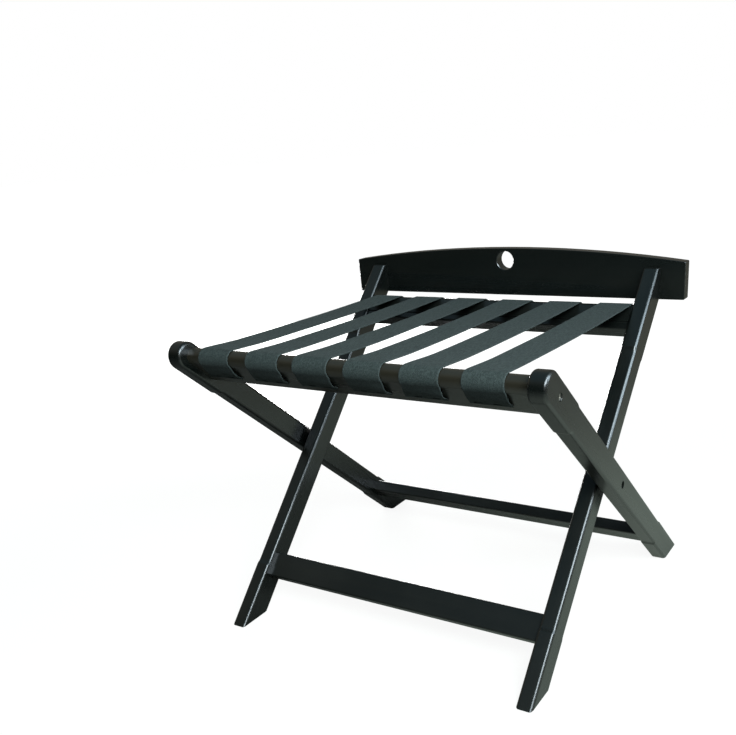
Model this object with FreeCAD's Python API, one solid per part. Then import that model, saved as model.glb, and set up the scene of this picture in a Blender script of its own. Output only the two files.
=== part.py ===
import FreeCAD, Part
import math
import os

# A folding luggage bench: an outer and an inner wooden frame cross at two
# pivot bolts, six webbing straps carry the bag, and a padded headboard stands
# on the inner frame.  Millimetres, X across the bench, Y to the back, Z up.
#
# Each frame is built upright about the pivot axis (local y = 0, z = 0) and
# then leans about it.  "Outward" is the side of a frame that faces away from
# the other frame's top: local -Y on the outer frame, local +Y on the inner.

Vector = FreeCAD.Vector

# ---- The open bench ----
FRAME_WIDTH = 600.0          # across the outer legs
PIVOT_HEIGHT = 232.0         # pivot axis above the floor
OUTER_LEAN = 48.2            # degrees from upright, top to the front
INNER_LEAN = 45.1            # degrees from upright, top to the back
LEG_GAP = 5.0                # between an outer leg and the inner leg beside it

# ---- Legs; places are measured along the leg ----
LEG_THICKNESS = 25.0
WAIST_WIDTH = 38.0           # between the shoulders
SHOULDER_STEP = 2.0          # how far each side of an end stands out
SHOULDER_COVE = 16.0         # radius of the hollow beside a shoulder
SHOULDER_ROUND = 8.0         # radius of the shoulder's crest
LEG_EDGE_ROUND = 4.5
LEG_TOP_ROUND = 1.2          # round the level top of an inner leg
FOOT_CHAMFER = 1.0
OUTER_REACH = 340.0          # pivot to the round tip
OUTER_TOP_SHOULDER = 237.0   # above the pivot
OUTER_FOOT_SHOULDER = 107.0  # above the floor
INNER_TOP_SHOULDER = 217.0
INNER_FOOT_SHOULDER = 89.0

# ---- Rails and stretchers ----
RAIL_THICKNESS = 25.0        # its half is the radius of the strap nose
RAIL_SETBACK = 12.0          # outward face behind the leg's outward face
RAIL_EDGE_ROUND = 3.0
FRONT_RAIL_DEPTH = 68.0
FRONT_RAIL_DROP = 14.5       # nose below the tip of the outer leg
REAR_RAIL_DEPTH = 49.0
REAR_RAIL_REACH = 297.0      # pivot to the top of the nose
GROOVE_WIDTH = 3.0
GROOVE_DEPTH = 2.0
FRONT_GROOVE_RISE = 22.5     # above the rail's lower edge
REAR_GROOVE_RISE = 12.5
STRETCHER_THICKNESS = 20.0
STRETCHER_DEPTH = 41.5
STRETCHER_RISE = 75.5        # lower edge above the floor, along the leg
STRETCHER_EDGE_ROUND = 2.5

# ---- Headboard and felt ----
BOARD_LIFT = 30.0            # rear rail nose to the board, along the leg
BOARD_THICKNESS = 20.0
BOARD_OVERHANG = 8.8         # past each outer leg
BOARD_END_HEIGHT = 58.0
BOARD_ARCH = 20.0            # rise of the top edge in the middle
BOARD_CORNER = 2.0
BOARD_FRONT_ROUND = 1.2
BOARD_BACK_ROUND = 0.8
LEG_SEAT_HEIGHT = 49.0       # of the leg top that the board stands against
HOLE_RADIUS = 15.5
HOLE_BRIDGE = 4.6            # wood left above the hole
HOLE_CHAMFER = 1.0
FELT_THICKNESS = 3.0
FELT_MARGIN = 1.0            # inside the board's outline
FELT_NOTCH_MARGIN = 2.0      # round the hole
FELT_NOTCH_ROUND = 4.0       # where the notch opens at the top edge

# ---- Straps ----
STRAP_COUNT = 6
STRAP_WIDTH = 54.0
STRAP_EDGE_ROOM = 3.0        # outermost strap to the inner leg beside it
STRAP_THICKNESS = 1.8
STRAP_SAG = 2.8
STRAP_CLEARANCE = 0.3        # to the wood of both rails
FRONT_TAB = 36.0             # below the middle of the front nose
REAR_TAB = 26.0
FRONT_SPLAY = 12.0           # how far each front tab slants to the left
FIRST_FRONT_SPLAY = 20.0     # the same for the left strap, pulled outward

# ---- Staples ----
STAPLE_WIRE = 1.0
STAPLE_CROWN = 10.0          # between the middles of its legs
STAPLE_LEG = 9.0             # below the strap's outer face
STAPLE_RISE = 5.0            # above the strap's end
STAPLE_PITCH = 27.0          # two staples in each strap end

# ---- Pivots ----
PIVOT_HEAD_RADIUS = 5.0
PIVOT_HEAD_HEIGHT = 4.5
PIVOT_SOCKET_RADIUS = 2.6    # across the corners of the hexagon
PIVOT_SOCKET_DEPTH = 2.5
PIVOT_SHANK_RADIUS = 3.0
PIVOT_RUNNING = 0.06         # radial clearance of the shank in its bushing
PIVOT_RECESS_RADIUS = 5.7
PIVOT_RECESS_DEPTH = 9.0
BUSHING_WALL = 1.2
WASHER_RADIUS = 10.0
INSERT_WALL = 1.5
INSERT_LENGTH = 14.0
INSERT_TIP_ROOM = 2.0        # hole below the insert
FACE_RUNNING = 0.1           # between faces that turn on each other

# ---- Rail screws, dowels and headboard screws ----
RAIL_SCREW_HEAD_RADIUS = 5.2
RAIL_SCREW_HEAD_HEIGHT = 3.5
RAIL_SCREW_RADIUS = 3.5
RAIL_SCREW_LENGTH = 60.0
RAIL_SCREW_RECESS_DEPTH = 5.0
RAIL_SCREW_OFFSET = 2.5      # outward of the rail's middle
RAIL_SCREW_RISE = 36.5       # above the rail's lower edge
CROSS_SLOT_LENGTH = 5.6
CROSS_SLOT_WIDTH = 1.0
CROSS_SLOT_DEPTH = 1.6
DOWEL_RADIUS = 4.0
DOWEL_IN_LEG = 15.0
DOWEL_IN_RAIL = 21.0
DOWEL_TIP_ROOM = 1.0
DOWEL_CHAMFER = 0.8
FRONT_DOWEL_RISE = 12.5      # above the rail's lower edge
REAR_DOWEL_RISE = 12.0
REAR_DOWEL_PITCH = 24.0
STRETCHER_DOWEL_PITCH = 22.0
BOARD_SCREW_HEAD_RADIUS = 4.2
BOARD_SCREW_RADIUS = 2.2
BOARD_SCREW_IN_LEG = 22.0
BOARD_SCREW_POINT = 4.0
BOARD_SCREW_RISE = 10.0      # lower screw above the board's lower edge
BOARD_SCREW_PITCH = 20.0
FIXED_CLEARANCE = 0.05       # round dowels, screws and staples in their holes

# ---- Worked out from the sizes above ----
OUTER_FACE = FRAME_WIDTH / 2
OUTER_INSIDE = OUTER_FACE - LEG_THICKNESS
INNER_FACE = OUTER_INSIDE - LEG_GAP
INNER_INSIDE = INNER_FACE - LEG_THICKNESS
STRAP_FIELD = 2 * (INNER_INSIDE - STRAP_EDGE_ROOM) - STRAP_WIDTH
STRAP_PITCH = STRAP_FIELD / (STRAP_COUNT - 1)
HALF_WAIST = WAIST_WIDTH / 2
HALF_END = HALF_WAIST + SHOULDER_STEP
NOSE_RADIUS = RAIL_THICKNESS / 2
RAIL_MIDDLE = RAIL_SETBACK + NOSE_RADIUS - HALF_END
FRONT_RAIL_TOP = OUTER_REACH - FRONT_RAIL_DROP
FRONT_RAIL_FOOT = FRONT_RAIL_TOP - FRONT_RAIL_DEPTH
REAR_RAIL_FOOT = REAR_RAIL_REACH - REAR_RAIL_DEPTH
OUTER_FLOOR = -PIVOT_HEIGHT / math.cos(math.radians(OUTER_LEAN))
INNER_FLOOR = -PIVOT_HEIGHT / math.cos(math.radians(INNER_LEAN))
BOARD_HALF_WIDTH = OUTER_FACE + BOARD_OVERHANG
BEYOND = 2 * OUTER_REACH     # longer than any leg, for cutting tools
SIDES = (-1, 1)


def on_outer(x, y, z):
    """Open-bench place of a point given in the upright outer frame."""
    turn = math.radians(OUTER_LEAN)
    return Vector(x, y * math.cos(turn) - z * math.sin(turn),
                  PIVOT_HEIGHT + y * math.sin(turn) + z * math.cos(turn))


def on_inner(x, y, z):
    """Open-bench place of a point given in the upright inner frame."""
    turn = math.radians(-INNER_LEAN)
    return Vector(x, y * math.cos(turn) - z * math.sin(turn),
                  PIVOT_HEIGHT + y * math.sin(turn) + z * math.cos(turn))


BOARD_CORNER_POINT = on_inner(0, HALF_END, REAR_RAIL_REACH + BOARD_LIFT)
BOARD_FRONT = BOARD_CORNER_POINT.y
BOARD_FOOT = BOARD_CORNER_POINT.z
BOARD_BACK = BOARD_FRONT + BOARD_THICKNESS
BOARD_TOP = BOARD_FOOT + BOARD_END_HEIGHT + BOARD_ARCH
HOLE_HEIGHT = BOARD_TOP - HOLE_BRIDGE - HOLE_RADIUS


# ---------------------------------------------------------------- helpers

def lean(shape, degrees):
    """Turn an upright shape about the pivot axis into the open bench."""
    leaning = shape.copy()
    leaning.rotate(Vector(0, 0, 0), Vector(1, 0, 0), degrees)
    leaning.translate(Vector(0, 0, PIVOT_HEIGHT))
    return leaning


def lean_outer(shape):
    return lean(shape, OUTER_LEAN)


def lean_inner(shape):
    return lean(shape, -INNER_LEAN)


def block(x_range, y_range, z_range):
    corner = Vector(x_range[0], y_range[0], z_range[0])
    return Part.makeBox(x_range[1] - x_range[0], y_range[1] - y_range[0],
                        z_range[1] - z_range[0], corner)


def rod(radius, start, end, x_side=1, y=0.0, z=0.0):
    """Round bar along X from start to end, counted towards x_side."""
    axis = Vector(x_side, 0, 0)
    return Part.makeCylinder(radius, end - start, Vector(x_side * start, y, z), axis)


def line(start, end):
    return Part.LineSegment(start, end).toShape()


def arc(start, middle, end):
    return Part.Arc(start, middle, end).toShape()


def prism(edges, travel):
    """Solid swept from the closed flat outline along a vector."""
    wire = Part.Wire(Part.__sortEdges__(edges))
    return Part.Face(wire).extrude(travel)


def edges_where(shape, test):
    return [edge for edge in shape.Edges if test(edge.BoundBox)]


def drilled(shape, tools):
    return shape.cut(Part.makeCompound(tools))


def mirrored_across(make):
    """The left and the right copy that make(side) returns."""
    return [make(side) for side in SIDES]


# ------------------------------------------------------------------- legs

def shoulder_edges(side, end, place):
    """Crest and hollow that join an end's wide face to the waist.

    side is the sign of y, end the sign of z, place the crest's distance from
    the pivot.  Also returns how far the hollow runs towards the pivot.
    """
    reach = SHOULDER_COVE + SHOULDER_ROUND
    across = reach - SHOULDER_STEP
    run = math.sqrt(reach ** 2 - across ** 2)
    tilt = math.atan2(run, across)

    def point(centre_y, centre_z, radius, angle):
        y = centre_y + radius * math.cos(angle)
        z = centre_z - radius * math.sin(angle)
        return Vector(0, side * y, end * z)

    crest = (HALF_END - SHOULDER_ROUND, place)
    hollow = (HALF_WAIST + SHOULDER_COVE, place - run)
    crest_points = [point(*crest, SHOULDER_ROUND, part * tilt) for part in (0, 0.5, 1)]
    hollow_points = [point(*hollow, SHOULDER_COVE, math.pi + part * tilt)
                     for part in (1, 0.5, 0)]
    return [arc(*crest_points), arc(*hollow_points)], run


def leg_blank(top_shoulder, foot_shoulder, top_end, foot_end, round_tip):
    """Upright leg with round long edges, its thickness counted from x = 0."""
    edges = []
    for side in SIDES:
        upper, run = shoulder_edges(side, 1, top_shoulder)
        lower, run = shoulder_edges(side, -1, foot_shoulder)
        edges += upper + lower
        edges.append(line(Vector(0, side * HALF_WAIST, run - foot_shoulder),
                          Vector(0, side * HALF_WAIST, top_shoulder - run)))
        edges.append(line(Vector(0, side * HALF_END, top_shoulder),
                          Vector(0, side * HALF_END, top_end)))
        edges.append(line(Vector(0, side * HALF_END, -foot_shoulder),
                          Vector(0, side * HALF_END, -foot_end)))
    edges.append(line(Vector(0, -HALF_END, -foot_end), Vector(0, HALF_END, -foot_end)))
    left, right = Vector(0, -HALF_END, top_end), Vector(0, HALF_END, top_end)
    if round_tip:
        edges.append(arc(left, Vector(0, 0, top_end + HALF_END), right))
    else:
        edges.append(line(left, right))
    blank = prism(edges, Vector(LEG_THICKNESS, 0, 0))
    long_edges = edges_where(blank, lambda box: box.XLength < 0.001 and box.ZLength > 0.001)
    return blank.makeFillet(LEG_EDGE_ROUND, long_edges)


def cut_at_floor(leg):
    """Cut a leaning leg level with the floor and chamfer the foot."""
    standing = leg.cut(block((-BEYOND, BEYOND), (-BEYOND, BEYOND), (-BEYOND, 0)))
    rim = edges_where(standing, lambda box: box.ZMax < 0.001)
    return standing.makeChamfer(FOOT_CHAMFER, rim)


def dowel_hole(side, face, y, z, lean_frame):
    """Hole in a leg, open at the face that a rail or stretcher butts on."""
    hole = rod(DOWEL_RADIUS + FIXED_CLEARANCE, face, face + DOWEL_IN_LEG + DOWEL_TIP_ROOM,
               side, y, z)
    return lean_frame(hole)


def outer_leg(side):
    tip_centre = OUTER_REACH - HALF_END
    foot_shoulder = -OUTER_FLOOR - OUTER_FOOT_SHOULDER
    blank = leg_blank(OUTER_TOP_SHOULDER, foot_shoulder, tip_centre, BEYOND, True)
    blank.translate(Vector(OUTER_INSIDE if side > 0 else -OUTER_FACE, 0, 0))
    leg = cut_at_floor(lean_outer(blank))
    recess_floor = OUTER_FACE - PIVOT_RECESS_DEPTH
    screw_floor = OUTER_FACE - RAIL_SCREW_RECESS_DEPTH
    bushing_hole = PIVOT_SHANK_RADIUS + PIVOT_RUNNING + BUSHING_WALL + FIXED_CLEARANCE
    tools = [
        lean_outer(rod(PIVOT_RECESS_RADIUS, recess_floor, BEYOND, side)),
        lean_outer(rod(bushing_hole, OUTER_INSIDE - 1, recess_floor, side)),
        lean_outer(rod(RAIL_SCREW_HEAD_RADIUS + 5 * FIXED_CLEARANCE, screw_floor, BEYOND,
                       side, *rail_screw_place())),
        lean_outer(rod(RAIL_SCREW_RADIUS + FIXED_CLEARANCE, OUTER_INSIDE - 1, screw_floor,
                       side, *rail_screw_place())),
    ]
    for y, z in front_rail_dowels() + rear_stretcher_dowels():
        tools.append(dowel_hole(side, OUTER_INSIDE, y, z, lean_outer))
    return drilled(leg, tools)


def inner_leg(side):
    foot_shoulder = -INNER_FLOOR - INNER_FOOT_SHOULDER
    blank = leg_blank(INNER_TOP_SHOULDER, foot_shoulder, BEYOND, BEYOND, False)
    blank.translate(Vector(INNER_INSIDE if side > 0 else -INNER_FACE, 0, 0))
    leg = cut_at_floor(lean_inner(blank))
    seat_top = BOARD_FOOT + LEG_SEAT_HEIGHT
    behind_seat = block((-BEYOND, BEYOND), (BOARD_FRONT, 2 * BEYOND), (0, 2 * BEYOND))
    above_seat = block((-BEYOND, BEYOND), (-BEYOND, BEYOND), (seat_top, 2 * BEYOND))
    leg = leg.cut(behind_seat).cut(above_seat)
    rim = edges_where(leg, lambda box: box.ZMin > seat_top - 0.001
                      and box.YMin < BOARD_FRONT - 0.001)
    leg = leg.makeFillet(LEG_TOP_ROUND, rim)
    insert_hole = PIVOT_SHANK_RADIUS + FIXED_CLEARANCE + INSERT_WALL + FIXED_CLEARANCE
    insert_floor = INNER_FACE - INSERT_LENGTH - INSERT_TIP_ROOM
    tools = [lean_inner(rod(insert_hole, insert_floor, INNER_FACE + 1, side))]
    for y, z in rear_rail_dowels() + front_stretcher_dowels():
        tools.append(dowel_hole(side, INNER_INSIDE, y, z, lean_inner))
    tools += [board_screw(x, z, FIXED_CLEARANCE) for x, z in board_screw_places()
              if x * side > 0]
    return drilled(leg, tools)


# -------------------------------------------------- rails and stretchers

def rail(length, outward, foot, top, groove_rise):
    """Upright rail with a full-round nose and a groove on its inward face."""
    middle = -outward * RAIL_MIDDLE
    nose = top - NOSE_RADIUS
    x = -length / 2
    ends = [Vector(x, middle - side * NOSE_RADIUS, nose) for side in SIDES]
    feet = [Vector(x, middle - side * NOSE_RADIUS, foot) for side in SIDES]
    outline = [arc(ends[0], Vector(x, middle, top), ends[1]), line(ends[1], feet[1]),
               line(feet[1], feet[0]), line(feet[0], ends[0])]
    bar = prism(outline, Vector(length, 0, 0))
    bottom = edges_where(bar, lambda box: box.ZMax < foot + 0.001 and box.YLength < 0.001)
    bar = bar.makeFillet(RAIL_EDGE_ROUND, bottom)
    inward_face = middle - outward * NOSE_RADIUS
    depths = sorted((inward_face + outward * GROOVE_DEPTH, inward_face - outward))
    height = foot + groove_rise
    groove = block((x - 1, 1 - x), depths, (height - GROOVE_WIDTH / 2,
                                            height + GROOVE_WIDTH / 2))
    return bar.cut(groove)


def stretcher(length, foot):
    half = STRETCHER_THICKNESS / 2
    bar = block((-length / 2, length / 2), (-half, half), (foot, foot + STRETCHER_DEPTH))
    long_edges = edges_where(bar, lambda box: box.XLength > length / 2)
    return bar.makeFillet(STRETCHER_EDGE_ROUND, long_edges)


def rail_screw_place():
    return RAIL_MIDDLE - RAIL_SCREW_OFFSET, FRONT_RAIL_FOOT + RAIL_SCREW_RISE


def front_rail_dowels():
    return [(RAIL_MIDDLE, FRONT_RAIL_FOOT + FRONT_DOWEL_RISE)]


def rear_rail_dowels():
    lower = REAR_RAIL_FOOT + REAR_DOWEL_RISE
    return [(-RAIL_MIDDLE, lower), (-RAIL_MIDDLE, lower + REAR_DOWEL_PITCH)]


def stretcher_dowels(foot):
    middle = foot + STRETCHER_DEPTH / 2
    return [(0.0, middle + side * STRETCHER_DOWEL_PITCH / 2) for side in SIDES]


def rear_stretcher_dowels():
    return stretcher_dowels(OUTER_FLOOR + STRETCHER_RISE)


def front_stretcher_dowels():
    return stretcher_dowels(INNER_FLOOR + STRETCHER_RISE)


def end_holes(face, places):
    """Dowel holes in both ends of a cross piece."""
    start = face - DOWEL_IN_RAIL - DOWEL_TIP_ROOM
    return [rod(DOWEL_RADIUS + FIXED_CLEARANCE, start, face + 1, side, y, z)
            for side in SIDES for y, z in places]


def front_rail():
    bar = rail(2 * OUTER_INSIDE, -1, FRONT_RAIL_FOOT, FRONT_RAIL_TOP, FRONT_GROOVE_RISE)
    screw_end = OUTER_FACE - RAIL_SCREW_RECESS_DEPTH - RAIL_SCREW_LENGTH
    tools = end_holes(OUTER_INSIDE, front_rail_dowels())
    tools += [rod(RAIL_SCREW_RADIUS + FIXED_CLEARANCE, screw_end, OUTER_INSIDE + 1, side,
                  *rail_screw_place()) for side in SIDES]
    return drilled(lean_outer(drilled(bar, tools)), staples(FRONT, FIXED_CLEARANCE))


def rear_rail():
    bar = rail(2 * INNER_INSIDE, 1, REAR_RAIL_FOOT, REAR_RAIL_REACH, REAR_GROOVE_RISE)
    bar = drilled(bar, end_holes(INNER_INSIDE, rear_rail_dowels()))
    return drilled(lean_inner(bar), staples(REAR, FIXED_CLEARANCE))


def rear_stretcher():
    bar = stretcher(2 * OUTER_INSIDE, OUTER_FLOOR + STRETCHER_RISE)
    return lean_outer(drilled(bar, end_holes(OUTER_INSIDE, rear_stretcher_dowels())))


def front_stretcher():
    bar = stretcher(2 * INNER_INSIDE, INNER_FLOOR + STRETCHER_RISE)
    return lean_inner(drilled(bar, end_holes(INNER_INSIDE, front_stretcher_dowels())))


# ----------------------------------------------------- headboard and felt

def board_blank(inset, corner, y_start, y_end):
    """Slab with the headboard's arched outline, drawn in by an inset."""
    half = BOARD_HALF_WIDTH - inset
    foot = BOARD_FOOT + inset
    shoulder = BOARD_FOOT + BOARD_END_HEIGHT - inset
    left_foot, right_foot = Vector(-half, y_start, foot), Vector(half, y_start, foot)
    left_top, right_top = Vector(-half, y_start, shoulder), Vector(half, y_start, shoulder)
    crown = Vector(0, y_start, BOARD_TOP - inset)
    outline = [line(left_foot, right_foot), line(right_foot, right_top),
               arc(right_top, crown, left_top), line(left_top, left_foot)]
    slab = prism(outline, Vector(0, y_end - y_start, 0))
    corners = edges_where(slab, lambda box: box.YLength > 0.9 * (y_end - y_start))
    return slab.makeFillet(corner, corners)


def hole_cutter():
    """Round cutter for the hand hole, with a chamfer at both faces."""
    along = Vector(0, 1, 0)
    start = Vector(0, BOARD_FRONT, HOLE_HEIGHT)
    end = Vector(0, BOARD_BACK, HOLE_HEIGHT)
    wide = HOLE_RADIUS + HOLE_CHAMFER
    cutter = Part.makeCylinder(HOLE_RADIUS, BOARD_THICKNESS, start, along)
    front = Part.makeCone(wide, HOLE_RADIUS, HOLE_CHAMFER, start, along)
    back = Part.makeCone(wide, HOLE_RADIUS, HOLE_CHAMFER, end, -along)
    return [cutter, front, back]


def board_screw(x, z, room):
    """Countersunk wood screw from the board's back into a leg top."""
    forward = Vector(0, -1, 0)
    head_radius = BOARD_SCREW_HEAD_RADIUS + room
    shank_radius = BOARD_SCREW_RADIUS + room
    head_height = BOARD_SCREW_HEAD_RADIUS - BOARD_SCREW_RADIUS
    shank_length = BOARD_THICKNESS + BOARD_SCREW_IN_LEG - head_height - BOARD_SCREW_POINT
    start = Vector(x, BOARD_BACK, z)
    neck = start + forward * head_height
    point = neck + forward * shank_length
    head = Part.makeCone(head_radius, shank_radius, head_height, start, forward)
    shank = Part.makeCylinder(shank_radius, shank_length, neck, forward)
    tip = Part.makeCone(shank_radius, 0.2 * shank_radius, BOARD_SCREW_POINT + room, point,
                        forward)
    return head.fuse([shank, tip]).removeSplitter()


def board_screw_places():
    middle = (INNER_FACE + INNER_INSIDE) / 2
    lower = BOARD_FOOT + BOARD_SCREW_RISE
    return [(side * middle, lower + step) for side in SIDES
            for step in (0, BOARD_SCREW_PITCH)]


def headboard():
    board = board_blank(0, BOARD_CORNER, BOARD_FRONT, BOARD_BACK)
    for face, radius in ((BOARD_FRONT, BOARD_FRONT_ROUND), (BOARD_BACK, BOARD_BACK_ROUND)):
        rim = edges_where(board, lambda box: abs(box.YMin - face) + abs(box.YMax - face) < 0.001)
        board = board.makeFillet(radius, rim)
    tools = [board_screw(x, z, FIXED_CLEARANCE) for x, z in board_screw_places()]
    for tool in hole_cutter() + tools:
        board = board.cut(tool)
    return board


def felt_pad():
    corner = BOARD_CORNER - FELT_MARGIN
    pad = board_blank(FELT_MARGIN, corner, BOARD_BACK, BOARD_BACK + FELT_THICKNESS)
    radius = HOLE_RADIUS + FELT_NOTCH_MARGIN
    start = Vector(0, BOARD_BACK - 1, HOLE_HEIGHT)
    ring = Part.makeCylinder(radius, FELT_THICKNESS + 2, start, Vector(0, 1, 0))
    mouth = block((-radius, radius), (BOARD_BACK - 1, BOARD_BACK + FELT_THICKNESS + 1),
                  (HOLE_HEIGHT, BOARD_TOP + radius))
    pad = pad.cut(ring.fuse(mouth))
    brink = edges_where(pad, lambda box: box.YLength > 0.9 * FELT_THICKNESS
                        and box.ZMin > HOLE_HEIGHT + 1 and abs(box.XMin) < radius + 1)
    return pad.makeFillet(FELT_NOTCH_ROUND, brink)


# ----------------------------------------------------------------- straps

class RailEnd:
    """Where straps are fixed: a rail's nose, its outward side and its lean."""

    def __init__(self, place, outward, nose_height, tab):
        self.place = place
        self.outward = outward
        self.middle = -outward * RAIL_MIDDLE
        self.nose_height = nose_height
        self.tab = tab
        self.nose = place(0, self.middle, nose_height)

    def beside(self, x, above_wood, drop):
        """Point this far outward of the rail's face and below the nose."""
        y = self.middle + self.outward * (NOSE_RADIUS + above_wood)
        return self.place(x, y, self.nose_height - drop)


FRONT = RailEnd(on_outer, -1, FRONT_RAIL_TOP - NOSE_RADIUS, FRONT_TAB)
REAR = RailEnd(on_inner, 1, REAR_RAIL_REACH - NOSE_RADIUS, REAR_TAB)


def strap_middles():
    first = -STRAP_PITCH * (STRAP_COUNT - 1) / 2
    return [first + number * STRAP_PITCH for number in range(STRAP_COUNT)]


def splay_of(number):
    return -FIRST_FRONT_SPLAY if number == 0 else -FRONT_SPLAY


def strap_path(above_wood):
    """Edges of one face of a strap, from the front tab's end to the rear's.

    The span is an arc that touches both noses, so the strap has no kink.
    """
    radius = NOSE_RADIUS + above_wood
    base = NOSE_RADIUS + STRAP_CLEARANCE
    half_span = (REAR.nose - FRONT.nose) / 2
    to_centre = (half_span.Length ** 2 + STRAP_SAG ** 2) / (2 * STRAP_SAG)
    up = Vector(0, -half_span.z, half_span.y).normalize()
    rise = to_centre - STRAP_SAG
    sag_centre = FRONT.nose + half_span + up * rise
    sag_radius = to_centre - base - (above_wood - STRAP_CLEARANCE)
    edges = []
    tops = []
    for end in (FRONT, REAR):
        tab_end = end.beside(0, above_wood, end.tab)
        corner = end.beside(0, above_wood, 0)
        outward = (corner - end.nose).normalize()
        inward = (sag_centre - end.nose).normalize()
        top = end.nose + inward * radius
        bend = end.nose + (outward + inward).normalize() * radius
        edges += [line(tab_end, corner), arc(corner, bend, top)]
        tops.append(top)
    edges.append(arc(tops[0], sag_centre - up * sag_radius, tops[1]))
    return edges


def strap_blank(x_start, x_end):
    """Strap profile swept across a width."""
    near = STRAP_CLEARANCE
    far = STRAP_CLEARANCE + STRAP_THICKNESS
    edges = strap_path(near) + strap_path(far)
    edges += [line(end.beside(0, near, end.tab), end.beside(0, far, end.tab))
              for end in (FRONT, REAR)]
    blank = prism(edges, Vector(x_end - x_start, 0, 0))
    blank.translate(Vector(x_start, 0, 0))
    return blank


def strap_top():
    return FRONT.nose.z + NOSE_RADIUS + STRAP_CLEARANCE + STRAP_THICKNESS


def tab_low():
    return FRONT.beside(0, 0, FRONT_TAB + STRAP_THICKNESS).z


def splayed_front(left, right, splay):
    """Room for a front tab that slants sideways on its way down from the nose."""
    y = FRONT.nose.y - STRAP_WIDTH
    corners = [Vector(left, y, strap_top()), Vector(right, y, strap_top()),
               Vector(right + splay, y, tab_low()), Vector(left + splay, y, tab_low())]
    edges = [line(corners[i - 1], corners[i]) for i in range(4)]
    slanted = prism(edges, Vector(0, 2 * STRAP_WIDTH, 0))
    return slanted.cut(block((-BEYOND, BEYOND), (FRONT.nose.y, BEYOND),
                             (FRONT.nose.z, BEYOND)))


def strap(number):
    middle = strap_middles()[number]
    splay = splay_of(number)
    left, right = middle - STRAP_WIDTH / 2, middle + STRAP_WIDTH / 2
    wide = strap_blank(left + min(splay, 0), right + max(splay, 0))
    front_end = FRONT.beside(0, 0, FRONT_TAB).y + RAIL_THICKNESS
    rear_end = REAR.nose.y + STRAP_WIDTH
    top = 2 * strap_top()
    over_nose = block((left, right), (FRONT.nose.y, front_end), (FRONT.nose.z, top))
    rest = block((left, right), (front_end, rear_end), (0, top))
    webbing = wide.common(splayed_front(left, right, splay).fuse([over_nose, rest]))
    return drilled(webbing, staples(FRONT, 2 * FIXED_CLEARANCE)
                   + staples(REAR, 2 * FIXED_CLEARANCE)).removeSplitter()


# ---------------------------------------------------------------- staples

def staple_middles(end):
    """X of each staple along a rail, two in each strap end."""
    middles = []
    height = end.beside(0, 0, end.tab - STAPLE_RISE).z
    slanted = (strap_top() - height) / (strap_top() - tab_low()) if end is FRONT else 0.0
    for number, middle in enumerate(strap_middles()):
        place = middle + slanted * splay_of(number)
        middles += [place + side * STAPLE_PITCH / 2 for side in SIDES]
    return middles


def staple(end, middle, room):
    """U of square wire over a strap end, its legs driven into the rail."""
    half = STAPLE_WIRE / 2 + room
    drop = end.tab - STAPLE_RISE
    face = STRAP_CLEARANCE + STRAP_THICKNESS

    def bar(x_range, outer, inner):
        faces = sorted(end.middle + end.outward * (NOSE_RADIUS + reach)
                       for reach in (outer, inner))
        height = end.nose_height - drop
        return block(x_range, faces, (height - half, height + half))

    reach = STAPLE_CROWN / 2
    crown = bar((middle - reach - half, middle + reach + half), face + STAPLE_WIRE, face)
    legs = [bar((middle + side * reach - half, middle + side * reach + half),
                face + STAPLE_WIRE / 2, face - STAPLE_LEG - room) for side in SIDES]
    whole = legs if room else [crown.fuse(legs).removeSplitter()]
    return [lean_outer(piece) if end is FRONT else lean_inner(piece) for piece in whole]


def staples(end, room):
    """All staples of one rail, or with some room the holes for their legs."""
    return [piece for middle in staple_middles(end) for piece in staple(end, middle, room)]


# --------------------------------------------------------------- hardware

def pivot_bolt(side):
    """Socket-head bolt that turns in the outer leg's bushing."""
    seat = OUTER_FACE - PIVOT_RECESS_DEPTH + FACE_RUNNING
    tip = INNER_FACE - INSERT_LENGTH + PIVOT_HEAD_HEIGHT / 2
    head = rod(PIVOT_HEAD_RADIUS, seat, seat + PIVOT_HEAD_HEIGHT, side)
    shank = rod(PIVOT_SHANK_RADIUS, tip, seat, side)
    rim = side * (seat + PIVOT_HEAD_HEIGHT)
    corners = [Vector(rim, PIVOT_SOCKET_RADIUS * math.cos(step * math.pi / 3),
                      PIVOT_SOCKET_RADIUS * math.sin(step * math.pi / 3))
               for step in range(6)]
    edges = [line(corners[i - 1], corners[i]) for i in range(6)]
    socket = prism(edges, Vector(-side * PIVOT_SOCKET_DEPTH, 0, 0))
    return lean_inner(head.fuse(shank).cut(socket).removeSplitter())


def tube(outer_radius, inner_radius, start, end, side):
    return rod(outer_radius, start, end, side).cut(rod(inner_radius, start, end, side))


def pivot_bushing(side):
    bore = PIVOT_SHANK_RADIUS + PIVOT_RUNNING
    sleeve = tube(bore + BUSHING_WALL, bore, OUTER_INSIDE, OUTER_FACE - PIVOT_RECESS_DEPTH,
                  side)
    return lean_outer(sleeve)


def pivot_washer(side):
    bore = PIVOT_SHANK_RADIUS + PIVOT_RUNNING
    return lean_outer(tube(WASHER_RADIUS, bore, INNER_FACE + FACE_RUNNING, OUTER_INSIDE, side))


def pivot_insert(side):
    bore = PIVOT_SHANK_RADIUS + FIXED_CLEARANCE
    return lean_inner(tube(bore + INSERT_WALL, bore, INNER_FACE - INSERT_LENGTH, INNER_FACE,
                           side))


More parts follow.
